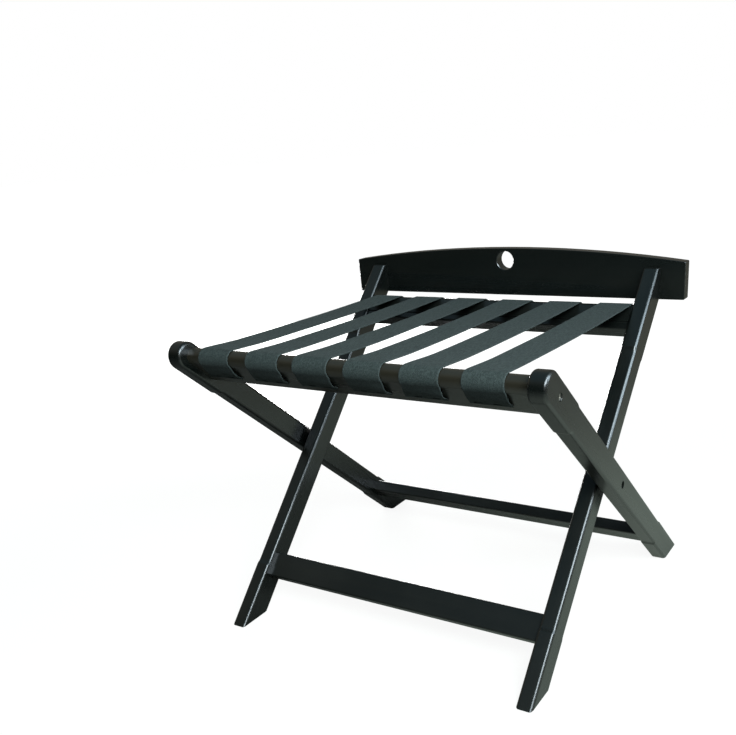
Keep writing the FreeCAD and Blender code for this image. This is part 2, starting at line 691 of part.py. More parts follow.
def rail_screw(side):
    """Cross-head screw through the outer leg into the front rail's end."""
    y, z = rail_screw_place()
    seat = OUTER_FACE - RAIL_SCREW_RECESS_DEPTH
    crown = seat + RAIL_SCREW_HEAD_HEIGHT
    head = rod(RAIL_SCREW_HEAD_RADIUS, seat, crown, side, y, z)
    rim = edges_where(head, lambda box: box.XLength < 0.001
                      and abs(side * box.XMin - crown) < 0.001)
    head = head.makeFillet(RAIL_SCREW_HEAD_HEIGHT / 3, rim)
    shank = rod(RAIL_SCREW_RADIUS, seat - RAIL_SCREW_LENGTH + DOWEL_TIP_ROOM, seat, side, y, z)
    depth = sorted((side * (crown - CROSS_SLOT_DEPTH), side * (crown + 1)))
    long, wide = CROSS_SLOT_LENGTH / 2, CROSS_SLOT_WIDTH / 2
    slots = [block(depth, (y - long, y + long), (z - wide, z + wide)),
             block(depth, (y - wide, y + wide), (z - long, z + long))]
    return lean_outer(head.fuse(shank).cut(slots[0]).cut(slots[1]).removeSplitter())


def dowel_group(face, places, lean_frame):
    """Fluted-end dowels that join a cross piece to both legs."""
    pegs = []
    for side in SIDES:
        for y, z in places:
            peg = rod(DOWEL_RADIUS, face - DOWEL_IN_RAIL, face + DOWEL_IN_LEG, side, y, z)
            ends = edges_where(peg, lambda box: box.XLength < 0.001)
            pegs.append(lean_frame(peg.makeChamfer(DOWEL_CHAMFER, ends)))
    return pegs


# --------------------------------------------------------------- assembly

def sub_parts():
    parts = {
        "outer_leg_left": outer_leg(-1),
        "outer_leg_right": outer_leg(1),
        "front_rail": front_rail(),
        "rear_stretcher": rear_stretcher(),
        "inner_leg_left": inner_leg(-1),
        "inner_leg_right": inner_leg(1),
        "rear_rail": rear_rail(),
        "front_stretcher": front_stretcher(),
        "headboard": headboard(),
        "felt_pad": felt_pad(),
    }
    for number in range(STRAP_COUNT):
        parts["strap_%d" % (number + 1)] = strap(number)
    groups = {
        "pivot_bolts": mirrored_across(pivot_bolt),
        "pivot_bushings": mirrored_across(pivot_bushing),
        "pivot_washers": mirrored_across(pivot_washer),
        "pivot_inserts": mirrored_across(pivot_insert),
        "front_rail_screws": mirrored_across(rail_screw),
        "front_rail_dowels": dowel_group(OUTER_INSIDE, front_rail_dowels(), lean_outer),
        "rear_stretcher_dowels": dowel_group(OUTER_INSIDE, rear_stretcher_dowels(), lean_outer),
        "rear_rail_dowels": dowel_group(INNER_INSIDE, rear_rail_dowels(), lean_inner),
        "front_stretcher_dowels": dowel_group(INNER_INSIDE, front_stretcher_dowels(),
                                              lean_inner),
        "headboard_screws": [board_screw(x, z, 0) for x, z in board_screw_places()],
        "front_strap_staples": staples(FRONT, 0),
        "rear_strap_staples": staples(REAR, 0),
    }
    for name, solids in groups.items():
        parts[name] = Part.makeCompound(solids)
    return parts


def main():
    parts = sub_parts()
    whole = Part.makeCompound(list(parts.values())).optimalBoundingBox()
    centring = Vector(0, -(whole.YMin + whole.YMax) / 2, 0)
    os.makedirs("parts", exist_ok=True)
    for name, shape in parts.items():
        shape.translate(centring)
        shape.exportStep("parts/%s.step" % name)
    print("box %.2f x %.2f x %.2f, low %.3f, pivot y %.3f"
          % (whole.XLength, whole.YLength, whole.ZLength, whole.ZMin, centring.y))
    print("%d nodes" % len(parts))


main()
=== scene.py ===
# %% [markdown]
# # A folding luggage bench
#
# This lesson dresses a folding luggage bench: two black wooden frames that
# cross at side bolts, six webbing straps between their top rails, and an
# arched headboard with a hand hole and a felt back.  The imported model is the
# skeleton.  Its rigid pieces keep their own meshes and only get finishes;
# the straps and the felt are cloth, so they are built again as cloth.

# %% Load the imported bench
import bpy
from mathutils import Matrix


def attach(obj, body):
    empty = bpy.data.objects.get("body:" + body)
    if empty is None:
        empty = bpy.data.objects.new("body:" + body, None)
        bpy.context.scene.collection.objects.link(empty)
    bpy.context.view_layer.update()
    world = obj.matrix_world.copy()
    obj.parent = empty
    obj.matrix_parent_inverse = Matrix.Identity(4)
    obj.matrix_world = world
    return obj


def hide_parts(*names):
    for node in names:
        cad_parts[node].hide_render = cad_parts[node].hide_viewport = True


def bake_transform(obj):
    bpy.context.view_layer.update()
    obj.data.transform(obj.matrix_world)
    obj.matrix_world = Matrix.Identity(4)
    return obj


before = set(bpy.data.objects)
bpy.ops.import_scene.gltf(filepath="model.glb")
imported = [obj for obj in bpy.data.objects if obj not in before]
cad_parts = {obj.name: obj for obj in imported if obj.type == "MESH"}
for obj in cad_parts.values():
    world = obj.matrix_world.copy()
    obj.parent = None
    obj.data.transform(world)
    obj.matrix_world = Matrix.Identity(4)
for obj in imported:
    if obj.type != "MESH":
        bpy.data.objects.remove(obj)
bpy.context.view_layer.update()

# %% [markdown]
# The rest of the lesson works in metres, but a joiner thinks in millimetres,
# so one value turns one into the other.  The two leans and the pivot come
# from the bench itself: the outer frame leans 48.2 degrees to the front and
# the inner frame 45.1 degrees to the back, both about the same bolt.

# %% Sizes that the bench is built from
import bmesh
import bpy
import math
from mathutils import Matrix, Quaternion, Vector, noise

MM = 0.001
OUTER_LEAN = math.radians(48.2)
INNER_LEAN = math.radians(-45.1)
PIVOT = Vector((0, -0.014193, 0.232))
print("pivot:", tuple(PIVOT))


# %% [markdown]
# ## Tools for shader nodes
#
# A material is a small tree of nodes.  Four helpers keep the trees short: one
# adds a node with its inputs, one does a sum, one blends two colours, and one
# brings a value smoothly from one range to another.  An input may be a plain
# value or the output of an earlier node.

# %% Four node helpers
def add(tree, kind, inputs=None, **settings):
    """A new shader node, with its settings made and its inputs set or linked."""
    node = tree.nodes.new("ShaderNode" + kind)
    for name, value in settings.items():
        setattr(node, name, value)
    for name, value in (inputs or {}).items():
        if isinstance(value, bpy.types.NodeSocket):
            tree.links.new(value, node.inputs[name])
        else:
            node.inputs[name].default_value = value
    return node


def sums(tree, operation, *values):
    """The result of one arithmetic step on one to three values."""
    return add(tree, "Math", dict(enumerate(values)), operation=operation).outputs[0]


def blended(tree, factor, first, second):
    """A colour between two others."""
    both = {0: factor, 6: first, 7: second}
    return add(tree, "Mix", both, data_type="RGBA").outputs[2]


def eased(tree, value, low, high, start=0.0, end=1.0):
    """A value brought smoothly from one range to another, and kept inside it."""
    steps = {"Value": value, "From Min": low, "From Max": high,
             "To Min": start, "To Max": end}
    return add(tree, "MapRange", steps, interpolation_type="SMOOTHSTEP").outputs[0]


print("node helpers ready")


# %% [markdown]
# An effect that several finishes share is worth a node group of its own.  A
# group is like a function: named inputs, named outputs, and the work inside.

# %% Groups and materials
def open_group(name, takes, gives):
    """A new group, with its input values as sockets and its output sockets."""
    group = bpy.data.node_groups.new(name, "ShaderNodeTree")
    for label, (kind, value) in takes.items():
        made = group.interface.new_socket(label, in_out="INPUT",
                                          socket_type="NodeSocket" + kind)
        made.default_value = value
    for label, kind in gives.items():
        group.interface.new_socket(label, in_out="OUTPUT", socket_type="NodeSocket" + kind)
    inside = group.nodes.new("NodeGroupInput").outputs
    outside = group.nodes.new("NodeGroupOutput").inputs
    return group, inside, outside


def use(tree, group, **inputs):
    """A group placed in a material, its inputs named with _ for a space."""
    node = tree.nodes.new("ShaderNodeGroup")
    node.node_tree = group
    for label, value in inputs.items():
        socket = node.inputs[label.replace("_", " ")]
        if isinstance(value, bpy.types.NodeSocket):
            tree.links.new(value, socket)
        else:
            socket.default_value = value
    return node.outputs


def open_material(name):
    """A new material, its node tree and its shader."""
    material = bpy.data.materials.new(name)
    material.use_nodes = True
    tree = material.node_tree
    return material, tree, tree.nodes["Principled BSDF"]


print("group helpers ready")

# %% [markdown]
# ## Shared effect 1: wood grain under lacquer
#
# Black lacquer fills most of the pores of beech, yet long shallow lines still
# show where they run.  A noise squeezed along the grain draws them: the
# vector's Z is the direction of the grain, and it is divided by a large
# number, so a blot becomes a streak.  A second, broad noise is the figure of
# the board, which makes one place a little browner than the next.

# %% Group: grain
grain_group, take, give = open_group(
    "Lacquered grain",
    {"Vector": ("Vector", (0, 0, 0)), "Pores per metre": ("Float", 900.0),
     "Stretch": ("Float", 30.0)},
    {"Pores": "Float", "Figure": "Float", "Height": "Float"})
squeeze = add(grain_group, "CombineXYZ", {"X": 1.0, "Y": 1.0, "Z": sums(
    grain_group, "DIVIDE", 1.0, take["Stretch"])}).outputs[0]
along = add(grain_group, "VectorMath", {0: take["Vector"], 1: squeeze},
            operation="MULTIPLY").outputs[0]
fine = add(grain_group, "TexNoise", {"Vector": along, "Scale": take["Pores per metre"],
                                     "Detail": 2.0, "Roughness": 0.6})
broad = add(grain_group, "TexNoise", {"Vector": along, "Scale": 45.0, "Detail": 3.0,
                                      "Distortion": 0.6})
pores = eased(grain_group, fine.outputs["Fac"], 0.56, 0.72)
grain_group.links.new(pores, give["Pores"])
grain_group.links.new(eased(grain_group, broad.outputs["Fac"], 0.3, 0.7), give["Figure"])
grain_group.links.new(sums(grain_group, "SUBTRACT", 1.0, pores), give["Height"])
print("group:", grain_group.name, "nodes:", len(grain_group.nodes))

# %% [markdown]
# ## Shared effect 2: worn edges
#
# Paint thins where hands, bags and the floor rub it: on the edges.  The Bevel
# node gives the normal that a rounded edge would have.  Where it differs from
# the true normal there is an edge, and a noise breaks the wear into patches.

# %% Group: edge wear
wear_group, take, give = open_group(
    "Edge wear",
    {"Vector": ("Vector", (0, 0, 0)), "Width": ("Float", 0.0015),
     "Patch size": ("Float", 60.0), "Amount": ("Float", 0.5)},
    {"Edge": "Float", "Worn": "Float"})
round_normal = add(wear_group, "Bevel", {"Radius": take["Width"]}, samples=4)
true_normal = add(wear_group, "NewGeometry")
same = add(wear_group, "VectorMath", {0: round_normal.outputs[0],
                                      1: true_normal.outputs["Normal"]},
           operation="DOT_PRODUCT").outputs["Value"]
edge = eased(wear_group, sums(wear_group, "SUBTRACT", 1.0, same), 0.02, 0.2)
patch = add(wear_group, "TexNoise", {"Vector": take["Vector"], "Scale": take["Patch size"],
                                     "Detail": 4.0, "Roughness": 0.65})
open_patch = sums(wear_group, "SUBTRACT", 1.0, sums(
    wear_group, "MULTIPLY", take["Amount"], 0.6))
torn = eased(wear_group, patch.outputs["Fac"], open_patch, 1.0)
wear_group.links.new(edge, give["Edge"])
wear_group.links.new(sums(wear_group, "MULTIPLY", edge, torn), give["Worn"])
print("group:", wear_group.name, "nodes:", len(wear_group.nodes))

# %% [markdown]
# ## Shared effect 3: dust and handling
#
# Nothing in a hotel room is spotless.  Settled dust lies on faces that look
# up, in soft clouds, and tiny specks lie everywhere.  The group gives both as
# masks, so each finish decides how much of them it shows.

# %% Group: dust
dust_group, take, give = open_group(
    "Dust", {"Vector": ("Vector", (0, 0, 0)), "Cloud size": ("Float", 9.0)},
    {"Clouds": "Float", "Specks": "Float"})
cloud = add(dust_group, "TexNoise", {"Vector": take["Vector"], "Scale": take["Cloud size"],
                                     "Detail": 5.0, "Roughness": 0.6})
facing = add(dust_group, "SeparateXYZ", {0: add(dust_group, "NewGeometry").outputs["Normal"]})
lying = eased(dust_group, facing.outputs["Z"], 0.2, 1.0)
speck = add(dust_group, "TexVoronoi", {"Vector": take["Vector"], "Scale": 420.0})
dots = eased(dust_group, speck.outputs["Distance"], 0.16, 0.05)
dust_group.links.new(sums(dust_group, "MULTIPLY", lying, eased(
    dust_group, cloud.outputs["Fac"], 0.35, 0.75)), give["Clouds"])
dust_group.links.new(dots, give["Specks"])
print("group:", dust_group.name, "nodes:", len(dust_group.nodes))

# %% [markdown]
# ## Black satin lacquer
#
# Every wooden piece has the same black satin lacquer.  The grain follows each
# piece, so the finish is made once for each direction: the point on the piece
# is turned until the grain runs along Z.  Legs need the frame's lean taken
# off; rails, stretchers and the headboard have their grain along X.
#
# The colour is nearly black with a trace of green, browner in the figure.
# What makes lacquer look like lacquer is its gloss: dark itself, it shows the
# room at a slant, and the pores break that reflection up.  The front rail has a
# lacquer of its own, a paler brown all over: partly where the straps and the
# bags rub, partly a painted highlight that stands in for the gleam of its nose.

# %% Lacquer for one direction of grain
PORE_BLACK = (0.002, 0.002, 0.002, 1)
EDGE_GREY = (0.022, 0.026, 0.024, 1)
WOOD_BROWN = (0.15, 0.11, 0.07, 1)
DUST_GREY = (0.16, 0.16, 0.14, 1)
RUBBED_AND_GLEAM_BROWN = (0.034, 0.029, 0.019, 1)
QUARTER_TURN = math.radians(90)


def lacquer(name, lean, grain_along_x, rubbed_and_gleam=0.0):
    """Black lacquer for pieces that lean so far; the last argument is how far it turns a paler
    brown, partly rubbed, partly a painted highlight.
    """
    material, tree, shader = open_material(name)
    place = add(tree, "TexCoord").outputs["Object"]
    upright = add(tree, "Mapping", {"Vector": place, "Rotation": (-lean, 0, 0)}).outputs[0]
    if grain_along_x:
        upright = add(tree, "Mapping", {"Vector": upright,
                                        "Rotation": (0, QUARTER_TURN, 0)}).outputs[0]
    grain = use(tree, grain_group, Vector=upright)
    wear = use(tree, wear_group, Vector=place, Patch_size=24.0, Amount=0.62)
    dust = use(tree, dust_group, Vector=place)
    paint = blended(tree, grain["Figure"], (0.0012, 0.0024, 0.0022, 1),
                    (0.0022, 0.0032, 0.0024, 1))
    paint = blended(tree, sums(tree, "MULTIPLY", grain["Pores"], 0.4), paint, PORE_BLACK)
    paint = blended(tree, sums(tree, "MULTIPLY", wear["Edge"], 0.35), paint, EDGE_GREY)
    paint = blended(tree, sums(tree, "MULTIPLY", wear["Worn"], 0.15), paint, WOOD_BROWN)
    paint = blended(tree, sums(tree, "MULTIPLY", dust["Clouds"], 0.03), paint, DUST_GREY)
    # Paler brown of rubbing, which is also a painted highlight for the front rail's gleam.
    paint = blended(tree, rubbed_and_gleam, paint, RUBBED_AND_GLEAM_BROWN)
    tree.links.new(paint, shader.inputs["Base Color"])
    gloss = eased(tree, grain["Figure"], 0.0, 1.0, 0.27, 0.30)
    gloss = sums(tree, "ADD", gloss, sums(tree, "MULTIPLY", dust["Clouds"], 0.04))
    tree.links.new(sums(tree, "ADD", gloss, sums(tree, "MULTIPLY", wear["Worn"], 0.06)),
                   shader.inputs["Roughness"])
    relief = add(tree, "Bump", {"Height": grain["Height"], "Strength": 0.01,
                                "Distance": 0.0003})
    tree.links.new(relief.outputs[0], shader.inputs["Normal"])
    shader.inputs["IOR"].default_value = 1.8
    return material


outer_leg_lacquer = lacquer("Lacquer, outer legs", OUTER_LEAN, False)
inner_leg_lacquer = lacquer("Lacquer, inner legs", INNER_LEAN, False)
# The front rail's paler brown is partly rubbing, partly a painted highlight.
front_rail_lacquer = lacquer("Lacquer, front rail", OUTER_LEAN, True, rubbed_and_gleam=0.45)
rear_stretcher_lacquer = lacquer("Lacquer, rear stretcher", OUTER_LEAN, True)
inner_rail_lacquer = lacquer("Lacquer, inner cross pieces", INNER_LEAN, True)
board_lacquer = lacquer("Lacquer, headboard", 0.0, True)
print("lacquers:", len([m for m in bpy.data.materials if m.name.startswith("Lacquer")]))

# %% [markdown]
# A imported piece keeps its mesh; a finish goes on by setting its material slot.

# %% Lacquer on the wooden pieces
def finish_with(material, *names):
    """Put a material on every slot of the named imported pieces."""
    for name in names:
        for material_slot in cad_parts[name].material_slots:
            material_slot.material = material
    print(material.name, "on:", ", ".join(names))


finish_with(outer_leg_lacquer, "outer_leg_left", "outer_leg_right")
finish_with(inner_leg_lacquer, "inner_leg_left", "inner_leg_right")
finish_with(front_rail_lacquer, "front_rail")
finish_with(rear_stretcher_lacquer, "rear_stretcher")
finish_with(inner_rail_lacquer, "rear_rail", "front_stretcher")
finish_with(board_lacquer, "headboard")

# %% [markdown]
# ## Metals
#
# The bolts, screws, staples and sleeves are small, so their finishes are
# simple: a metal colour, fine turning marks or scratches in the roughness,
# and brighter worn edges.  All of them share one maker function.

# %% One metal finish
SCRATCH_ROUGHNESS = 0.12


def metal(name, colour, dark, roughness):
    """A metal that is stained darker in patches and brighter at its edges."""
    material, tree, shader = open_material(name)
    place = add(tree, "TexCoord").outputs["Object"]
    fine = add(tree, "TexNoise", {"Vector": place, "Scale": 1800.0, "Detail": 3.0})
    stain = add(tree, "TexNoise", {"Vector": place, "Scale": 240.0, "Detail": 4.0})
    wear = use(tree, wear_group, Vector=place, Width=0.0004, Patch_size=300.0, Amount=1.0)
    paint = blended(tree, eased(tree, stain.outputs["Fac"], 0.35, 0.7), colour, dark)
    bright = tuple(min(1.0, 1.25 * part) for part in colour[:3]) + (1,)
    paint = blended(tree, wear["Edge"], paint, bright)
    tree.links.new(paint, shader.inputs["Base Color"])
    shine = eased(tree, fine.outputs["Fac"], 0.3, 0.7, roughness,
                  roughness + SCRATCH_ROUGHNESS)
    tree.links.new(shine, shader.inputs["Roughness"])
    relief = add(tree, "Bump", {"Height": fine.outputs["Fac"], "Strength": 0.08,
                                "Distance": 0.0001})
    tree.links.new(relief.outputs[0], shader.inputs["Normal"])
    shader.inputs["Metallic"].default_value = 1.0
    return material


nickel = metal("Nickel plate", (0.70, 0.68, 0.63, 1), (0.52, 0.50, 0.46, 1), 0.24)
dark_steel = metal("Dark steel", (0.13, 0.12, 0.10, 1), (0.07, 0.065, 0.055, 1), 0.34)
steel = metal("Plain steel", (0.42, 0.42, 0.43, 1), (0.30, 0.29, 0.28, 1), 0.30)
zinc = metal("Zinc plate", (0.50, 0.52, 0.55, 1), (0.40, 0.40, 0.38, 1), 0.35)
brass = metal("Brass", (0.72, 0.53, 0.26, 1), (0.50, 0.35, 0.16, 1), 0.28)
staple_black = metal("Black staple wire", (0.060, 0.072, 0.072, 1),
                     (0.040, 0.048, 0.048, 1), 0.55)
finish_with(nickel, "front_rail_screws")
finish_with(dark_steel, "pivot_bolts")
finish_with(steel, "pivot_bushings")
finish_with(zinc, "headboard_screws")
finish_with(brass, "pivot_inserts")
finish_with(staple_black, "front_strap_staples", "rear_strap_staples")

# %% [markdown]
# ## Nylon washers and beech dowels
#
# The washers between the legs are black nylon: a plastic with a soft, waxy
# gloss.  The dowels stay hidden in the joints, but they are bare beech, with
# the same grain group as the lacquered wood, only pale.

# %% Nylon
nylon, tree, shader = open_material("Nylon")
place = add(tree, "TexCoord").outputs["Object"]
cloud = add(tree, "TexNoise", {"Vector": place, "Scale": 500.0, "Detail": 3.0})
dust = use(tree, dust_group, Vector=place)
tint = blended(tree, cloud.outputs["Fac"], (0.012, 0.012, 0.012, 1), (0.022, 0.022, 0.021, 1))
tint = blended(tree, sums(tree, "MULTIPLY", dust["Specks"], 0.3), tint, (0.2, 0.2, 0.18, 1))
tree.links.new(tint, shader.inputs["Base Color"])
tree.links.new(eased(tree, cloud.outputs["Fac"], 0.3, 0.7, 0.38, 0.5), shader.inputs["Roughness"])
finish_with(nylon, "pivot_washers")

# %% Beech
beech, tree, shader = open_material("Beech dowel")
place = add(tree, "TexCoord").outputs["Object"]
turned = add(tree, "Mapping", {"Vector": place, "Rotation": (0, QUARTER_TURN, 0)})
grain = use(tree, grain_group, Vector=turned.outputs[0], Stretch=14.0)
tint = blended(tree, grain["Figure"], (0.52, 0.34, 0.19, 1), (0.62, 0.44, 0.27, 1))
tint = blended(tree, grain["Pores"], tint, (0.30, 0.17, 0.08, 1))
tree.links.new(tint, shader.inputs["Base Color"])
tree.links.new(eased(tree, grain["Figure"], 0.0, 1.0, 0.5, 0.62), shader.inputs["Roughness"])
finish_with(beech, "front_rail_dowels", "rear_stretcher_dowels", "rear_rail_dowels",
            "front_stretcher_dowels")

# %% [markdown]
# ## The line of a strap
#
# A strap starts at the outward face of the front rail, goes up over the round
# nose, crosses to the rear rail with a slight sag and ends on the outward
# face of that rail.  Seen from the side this is one line of straight runs and
# arcs.  Each station on it is a point, the direction away from the wood, and
# the length of webbing up to there.

# %% Where a rail's nose is
NOSE_RADIUS = 12.5 * MM
NOSE_SET_BACK = 3.5 * MM
STRAP_THICKNESS = 1.8 * MM
STRAP_CLEARANCE = 0.3 * MM
WOOD_TO_MIDDLE = STRAP_CLEARANCE + STRAP_THICKNESS / 2


def on_frame(lean, outward, up):
    """A point in the open bench, given along and across a leaning frame."""
    return PIVOT + Matrix.Rotation(lean, 3, "X") @ Vector((0, outward, up))


class Nose:
    """A rail's round nose: its middle, its outward side and how far the tab goes."""

    def __init__(self, lean, side, height, tab):
        self.middle = on_frame(lean, -side * NOSE_SET_BACK, height * MM)
        self.outward = Matrix.Rotation(lean, 3, "X") @ Vector((0, side, 0))
        self.down = Matrix.Rotation(lean, 3, "X") @ Vector((0, 0, -1))
        self.tab = tab * MM


front_nose = Nose(OUTER_LEAN, -1, 313.0, 36.0)
rear_nose = Nose(INNER_LEAN, 1, 284.5, 26.0)
print("front nose:", [round(v, 4) for v in front_nose.middle],
      "rear nose:", [round(v, 4) for v in rear_nose.middle])


# %% Stations along the strap
SAG = 2.8 * MM
FRONT_TAB_STEPS = 12


def tab_stations(nose, count):
    """From the nose down the rail's outward face: (point, normal, part of the tab)."""
    top = nose.middle + nose.outward * (NOSE_RADIUS + WOOD_TO_MIDDLE)
    return [(top + nose.down * (nose.tab * step / count), nose.outward.copy(), step / count)
            for step in range(count + 1)]


def nose_stations(nose, up, count):
    """Round the nose, from its outward side to the side that faces up."""
    whole = nose.outward.rotation_difference(up)
    stations = []
    for step in range(1, count):
        normal = nose.outward.copy()
        normal.rotate(Quaternion(whole.axis, whole.angle * step / count))
        stations.append((nose.middle + normal * (NOSE_RADIUS + WOOD_TO_MIDDLE), normal, 0.0))
    return stations


def span_stations(front, rear, count):
    """Between the noses, on an arc that touches both."""
    half = (rear.middle - front.middle) / 2
    reach = (half.length_squared + SAG ** 2) / (2 * SAG)
    up = Vector((0, -half.z, half.y)).normalized()
    centre = front.middle + half + up * (reach - SAG)
    radius = reach - NOSE_RADIUS - WOOD_TO_MIDDLE
    start = (front.middle - centre).normalized()
    end = (rear.middle - centre).normalized()
    stations = []
    for step in range(count + 1):
        direction = start.lerp(end, step / count).normalized()
        stations.append((centre + direction * radius, -direction, 0.0))
    return stations


span = span_stations(front_nose, rear_nose, count=44)
line = tab_stations(front_nose, FRONT_TAB_STEPS)[::-1]
line += nose_stations(front_nose, span[0][1], count=14)
front_stations = len(line)
line += span
line += nose_stations(rear_nose, span[-1][1], count=12)[::-1]
line += tab_stations(rear_nose, count=8)
length = sum((line[i][0] - line[i - 1][0]).length for i in range(1, len(line)))
print("stations:", len(line), "webbing:", round(length, 4), "m")

# %% [markdown]
# ## The webbing itself
#
# Webbing is a flat woven band with a slightly fuller selvedge at both edges.
# Its cross-section is a thin loop, and the strap is that loop carried along
# the stations.  Use has moved the cloth a little: every front tab has slid to
# the left and spread at its end, and its right edge stands off the rail
# between the nose and the staples.  All of it is in millimetres.  Four numbers
# for each strap say how far its left and right edges have slid, at the nose and
# at the tab's end; two more say how far they stand off the wood.

# %% Cross-section and slack of each strap
HALF_WIDTH = 27.0
FIRST_STRAP = -215.0
STRAP_PITCH = 86.0
STRAP_PLACES = [(FIRST_STRAP + STRAP_PITCH * number) * MM for number in range(6)]
# half of the section: place across from the middle to the edge, half thickness
SECTION = [(0.0, 0.86), (6.0, 0.86), (12.0, 0.85), (17.0, 0.83), (21.0, 0.80), (23.4, 0.78),
           (24.6, 0.86), (25.6, 0.90), (26.4, 0.82), (26.9, 0.50)]
TAB_DRIFT = [(-9.5, -6.5, -23.0, -12.0), (-5.5, -1.5, -19.0, -10.5), (-7.5, -3.5, -20.0, -11.0),
             (-8.5, -4.5, -17.0, -9.0), (-8.0, -4.5, -20.5, -9.5), (-5.0, -1.0, -11.0, -5.0)]
BULGE = [(1.0, 3.0), (1.0, 3.4), (1.2, 3.8), (1.2, 4.4), (1.2, 4.2), (0.8, 2.6)]


# %% How the cloth has moved
STAPLES_AT = 0.86       # part of the tab's length, from the nose
DRIFT_DIES_OUT = 0.075  # metres from the nose
WAVE_HEIGHT = 0.7
EDGE_CURL = 0.35


def ease(value):
    """A value from 0 to 1, with a soft start and a soft end."""
    value = min(max(value, 0.0), 1.0)
    return value * value * (3 - 2 * value)


def drift(number, station, across):
    """Sideways move of the webbing at a station; across is -1 left to 1 right."""
    left_nose, right_nose, left_end, right_end = TAB_DRIFT[number]
    point, _, part = line[station]
    if station <= FRONT_TAB_STEPS:
        left = left_nose + (left_end - left_nose) * part
        right = right_nose + (right_end - right_nose) * part
    else:
        away = (point - line[FRONT_TAB_STEPS][0]).length
        fading = ease(1 - away / DRIFT_DIES_OUT)
        left, right = left_nose * fading, right_nose * fading
    return MM * (left + (right - left) * (across + 1) / 2)


def stand_off(number, station, across):
    """How far the front tab stands off the wood, most between nose and staples."""
    part = line[station][2]
    if station > FRONT_TAB_STEPS or part > STAPLES_AT:
        return 0.0
    left, right = BULGE[number]
    height = left + (right - left) * ((across + 1) / 2) ** 1.5
    return MM * height * math.sin(math.pi * (part / STAPLES_AT) ** 1.15)


def waviness(number, station, across):
    """Webbing never lies quite flat: a soft curl between the two noses."""
    if not front_stations <= station < front_stations + len(span):
        return 0.0
    part = (station - front_stations) / (len(span) - 1)
    roll = noise.noise(Vector((number * 3.7, part * 4.0, across * 0.6)))
    return MM * math.sin(math.pi * part) * (WAVE_HEIGHT * roll + EDGE_CURL * across * across)


farthest = max(stand_off(3, station, 1) for station in range(FRONT_TAB_STEPS + 1))
print("largest stand-off:", round(farthest / MM, 2), "mm")


# %% Build one strap
END_THINNESS = 0.72     # of the band's thickness, where it was cut and sealed
SEALED_LENGTH = 0.004


def strap_mesh(number):
    """One strap: the section carried along the stations, closed at both ends."""
    loop = SECTION + [(u, -h) for u, h in SECTION[::-1]]
    loop += [(-u, -h) for u, h in SECTION[1:]] + [(-u, h) for u, h in SECTION[:0:-1]]
    mesh = bmesh.new()
    cloth = mesh.loops.layers.uv.new("cloth")
    rows = []
    run = 0.0
    runs = []
    for station, (point, normal, _) in enumerate(line):
        if station:
            run += (point - line[station - 1][0]).length
        end = min(run, length - run)
        thin = END_THINNESS + (1 - END_THINNESS) * ease(end / SEALED_LENGTH)
        row = []
        for u, h in loop:
            across = u / HALF_WIDTH
            lift = stand_off(number, station, across) + waviness(number, station, across)
            where = point + normal * (lift + h * MM * thin)
            where = where + Vector((STRAP_PLACES[number] + u * MM
                                    + drift(number, station, across), 0, 0))
            row.append(mesh.verts.new(where))
        rows.append(row)
        runs.append(run)
    for station in range(1, len(rows)):
        for i in range(len(loop)):
            corners = [(station - 1, i - 1), (station - 1, i), (station, i), (station, i - 1)]
            face = mesh.faces.new([rows[s][k] for s, k in corners])
            face.smooth = True
            for corner, (s, k) in zip(face.loops, corners):
                corner[cloth].uv = (loop[k][0] * MM, runs[s])
    for row, s in ((rows[0], 0), (rows[-1], -1)):
        face = mesh.faces.new(row)
        for corner, (u, h) in zip(face.loops, loop):
            corner[cloth].uv = (u * MM, runs[s])
    bmesh.ops.recalc_face_normals(mesh, faces=mesh.faces)
    data = bpy.data.meshes.new("webbing_strap_%d" % (number + 1))
    mesh.to_mesh(data)
    mesh.free()
    return data


straps = []
for number in range(len(STRAP_PLACES)):
    strap = bpy.data.objects.new("webbing_strap_%d" % (number + 1), strap_mesh(number))
    bpy.context.scene.collection.objects.link(strap)
    straps.append(strap)
print("strap faces:", len(straps[0].data.polygons))

# %% [markdown]
# ## Webbing finish
#
# Close up, the band is a tight weave: cords run along it about 1.5 mm apart,
# and the cross thread dips over and under them, each cord half a step after
# its neighbour.  Two sine waves give that basket of small bumps.  The cloth
# coordinates are metres across and along the band, so the weave follows every
# bend.  The dye takes unevenly, in blots that are longer along the cords than
# across them.  Polyester is matt with a faint sheen, and its selvedge is a
# shade paler.

# %% Webbing material
CORD_SPACING = 0.0015
THREAD_SPACING = 0.0011
SELVEDGE = (0.0246, 0.0262)  # from the middle: where it begins and is all there
webbing, tree, shader = open_material("Charcoal webbing")
cloth = add(tree, "SeparateXYZ", {0: add(tree, "UVMap", uv_map="cloth").outputs[0]})
object_place = add(tree, "TexCoord").outputs["Object"]
across = sums(tree, "MULTIPLY", cloth.outputs["X"], math.pi / CORD_SPACING)
cord = sums(tree, "ABSOLUTE", sums(tree, "SINE", across))
cord_number = sums(tree, "FLOOR", sums(tree, "DIVIDE", across, math.pi))
step = sums(tree, "MULTIPLY", cord_number, math.pi)
along = sums(tree, "MULTIPLY", cloth.outputs["Y"], math.pi / THREAD_SPACING)
dip = sums(tree, "SINE", sums(tree, "ADD", along, step))
weave = sums(tree, "MULTIPLY", cord, sums(tree, "MULTIPLY_ADD", dip, 0.4, 0.6))
fibre = add(tree, "TexNoise", {"Vector": object_place, "Scale": 1500.0, "Detail": 2.0})
lengthwise = add(tree, "Mapping", {"Vector": object_place,
                                   "Scale": (1.0, 0.24, 1.0)}).outputs[0]
blotch = add(tree, "TexNoise", {"Vector": lengthwise, "Scale": 560.0, "Detail": 3.0})
rim = eased(tree, sums(tree, "ABSOLUTE", cloth.outputs["X"]), *SELVEDGE)
dust = use(tree, dust_group, Vector=object_place)
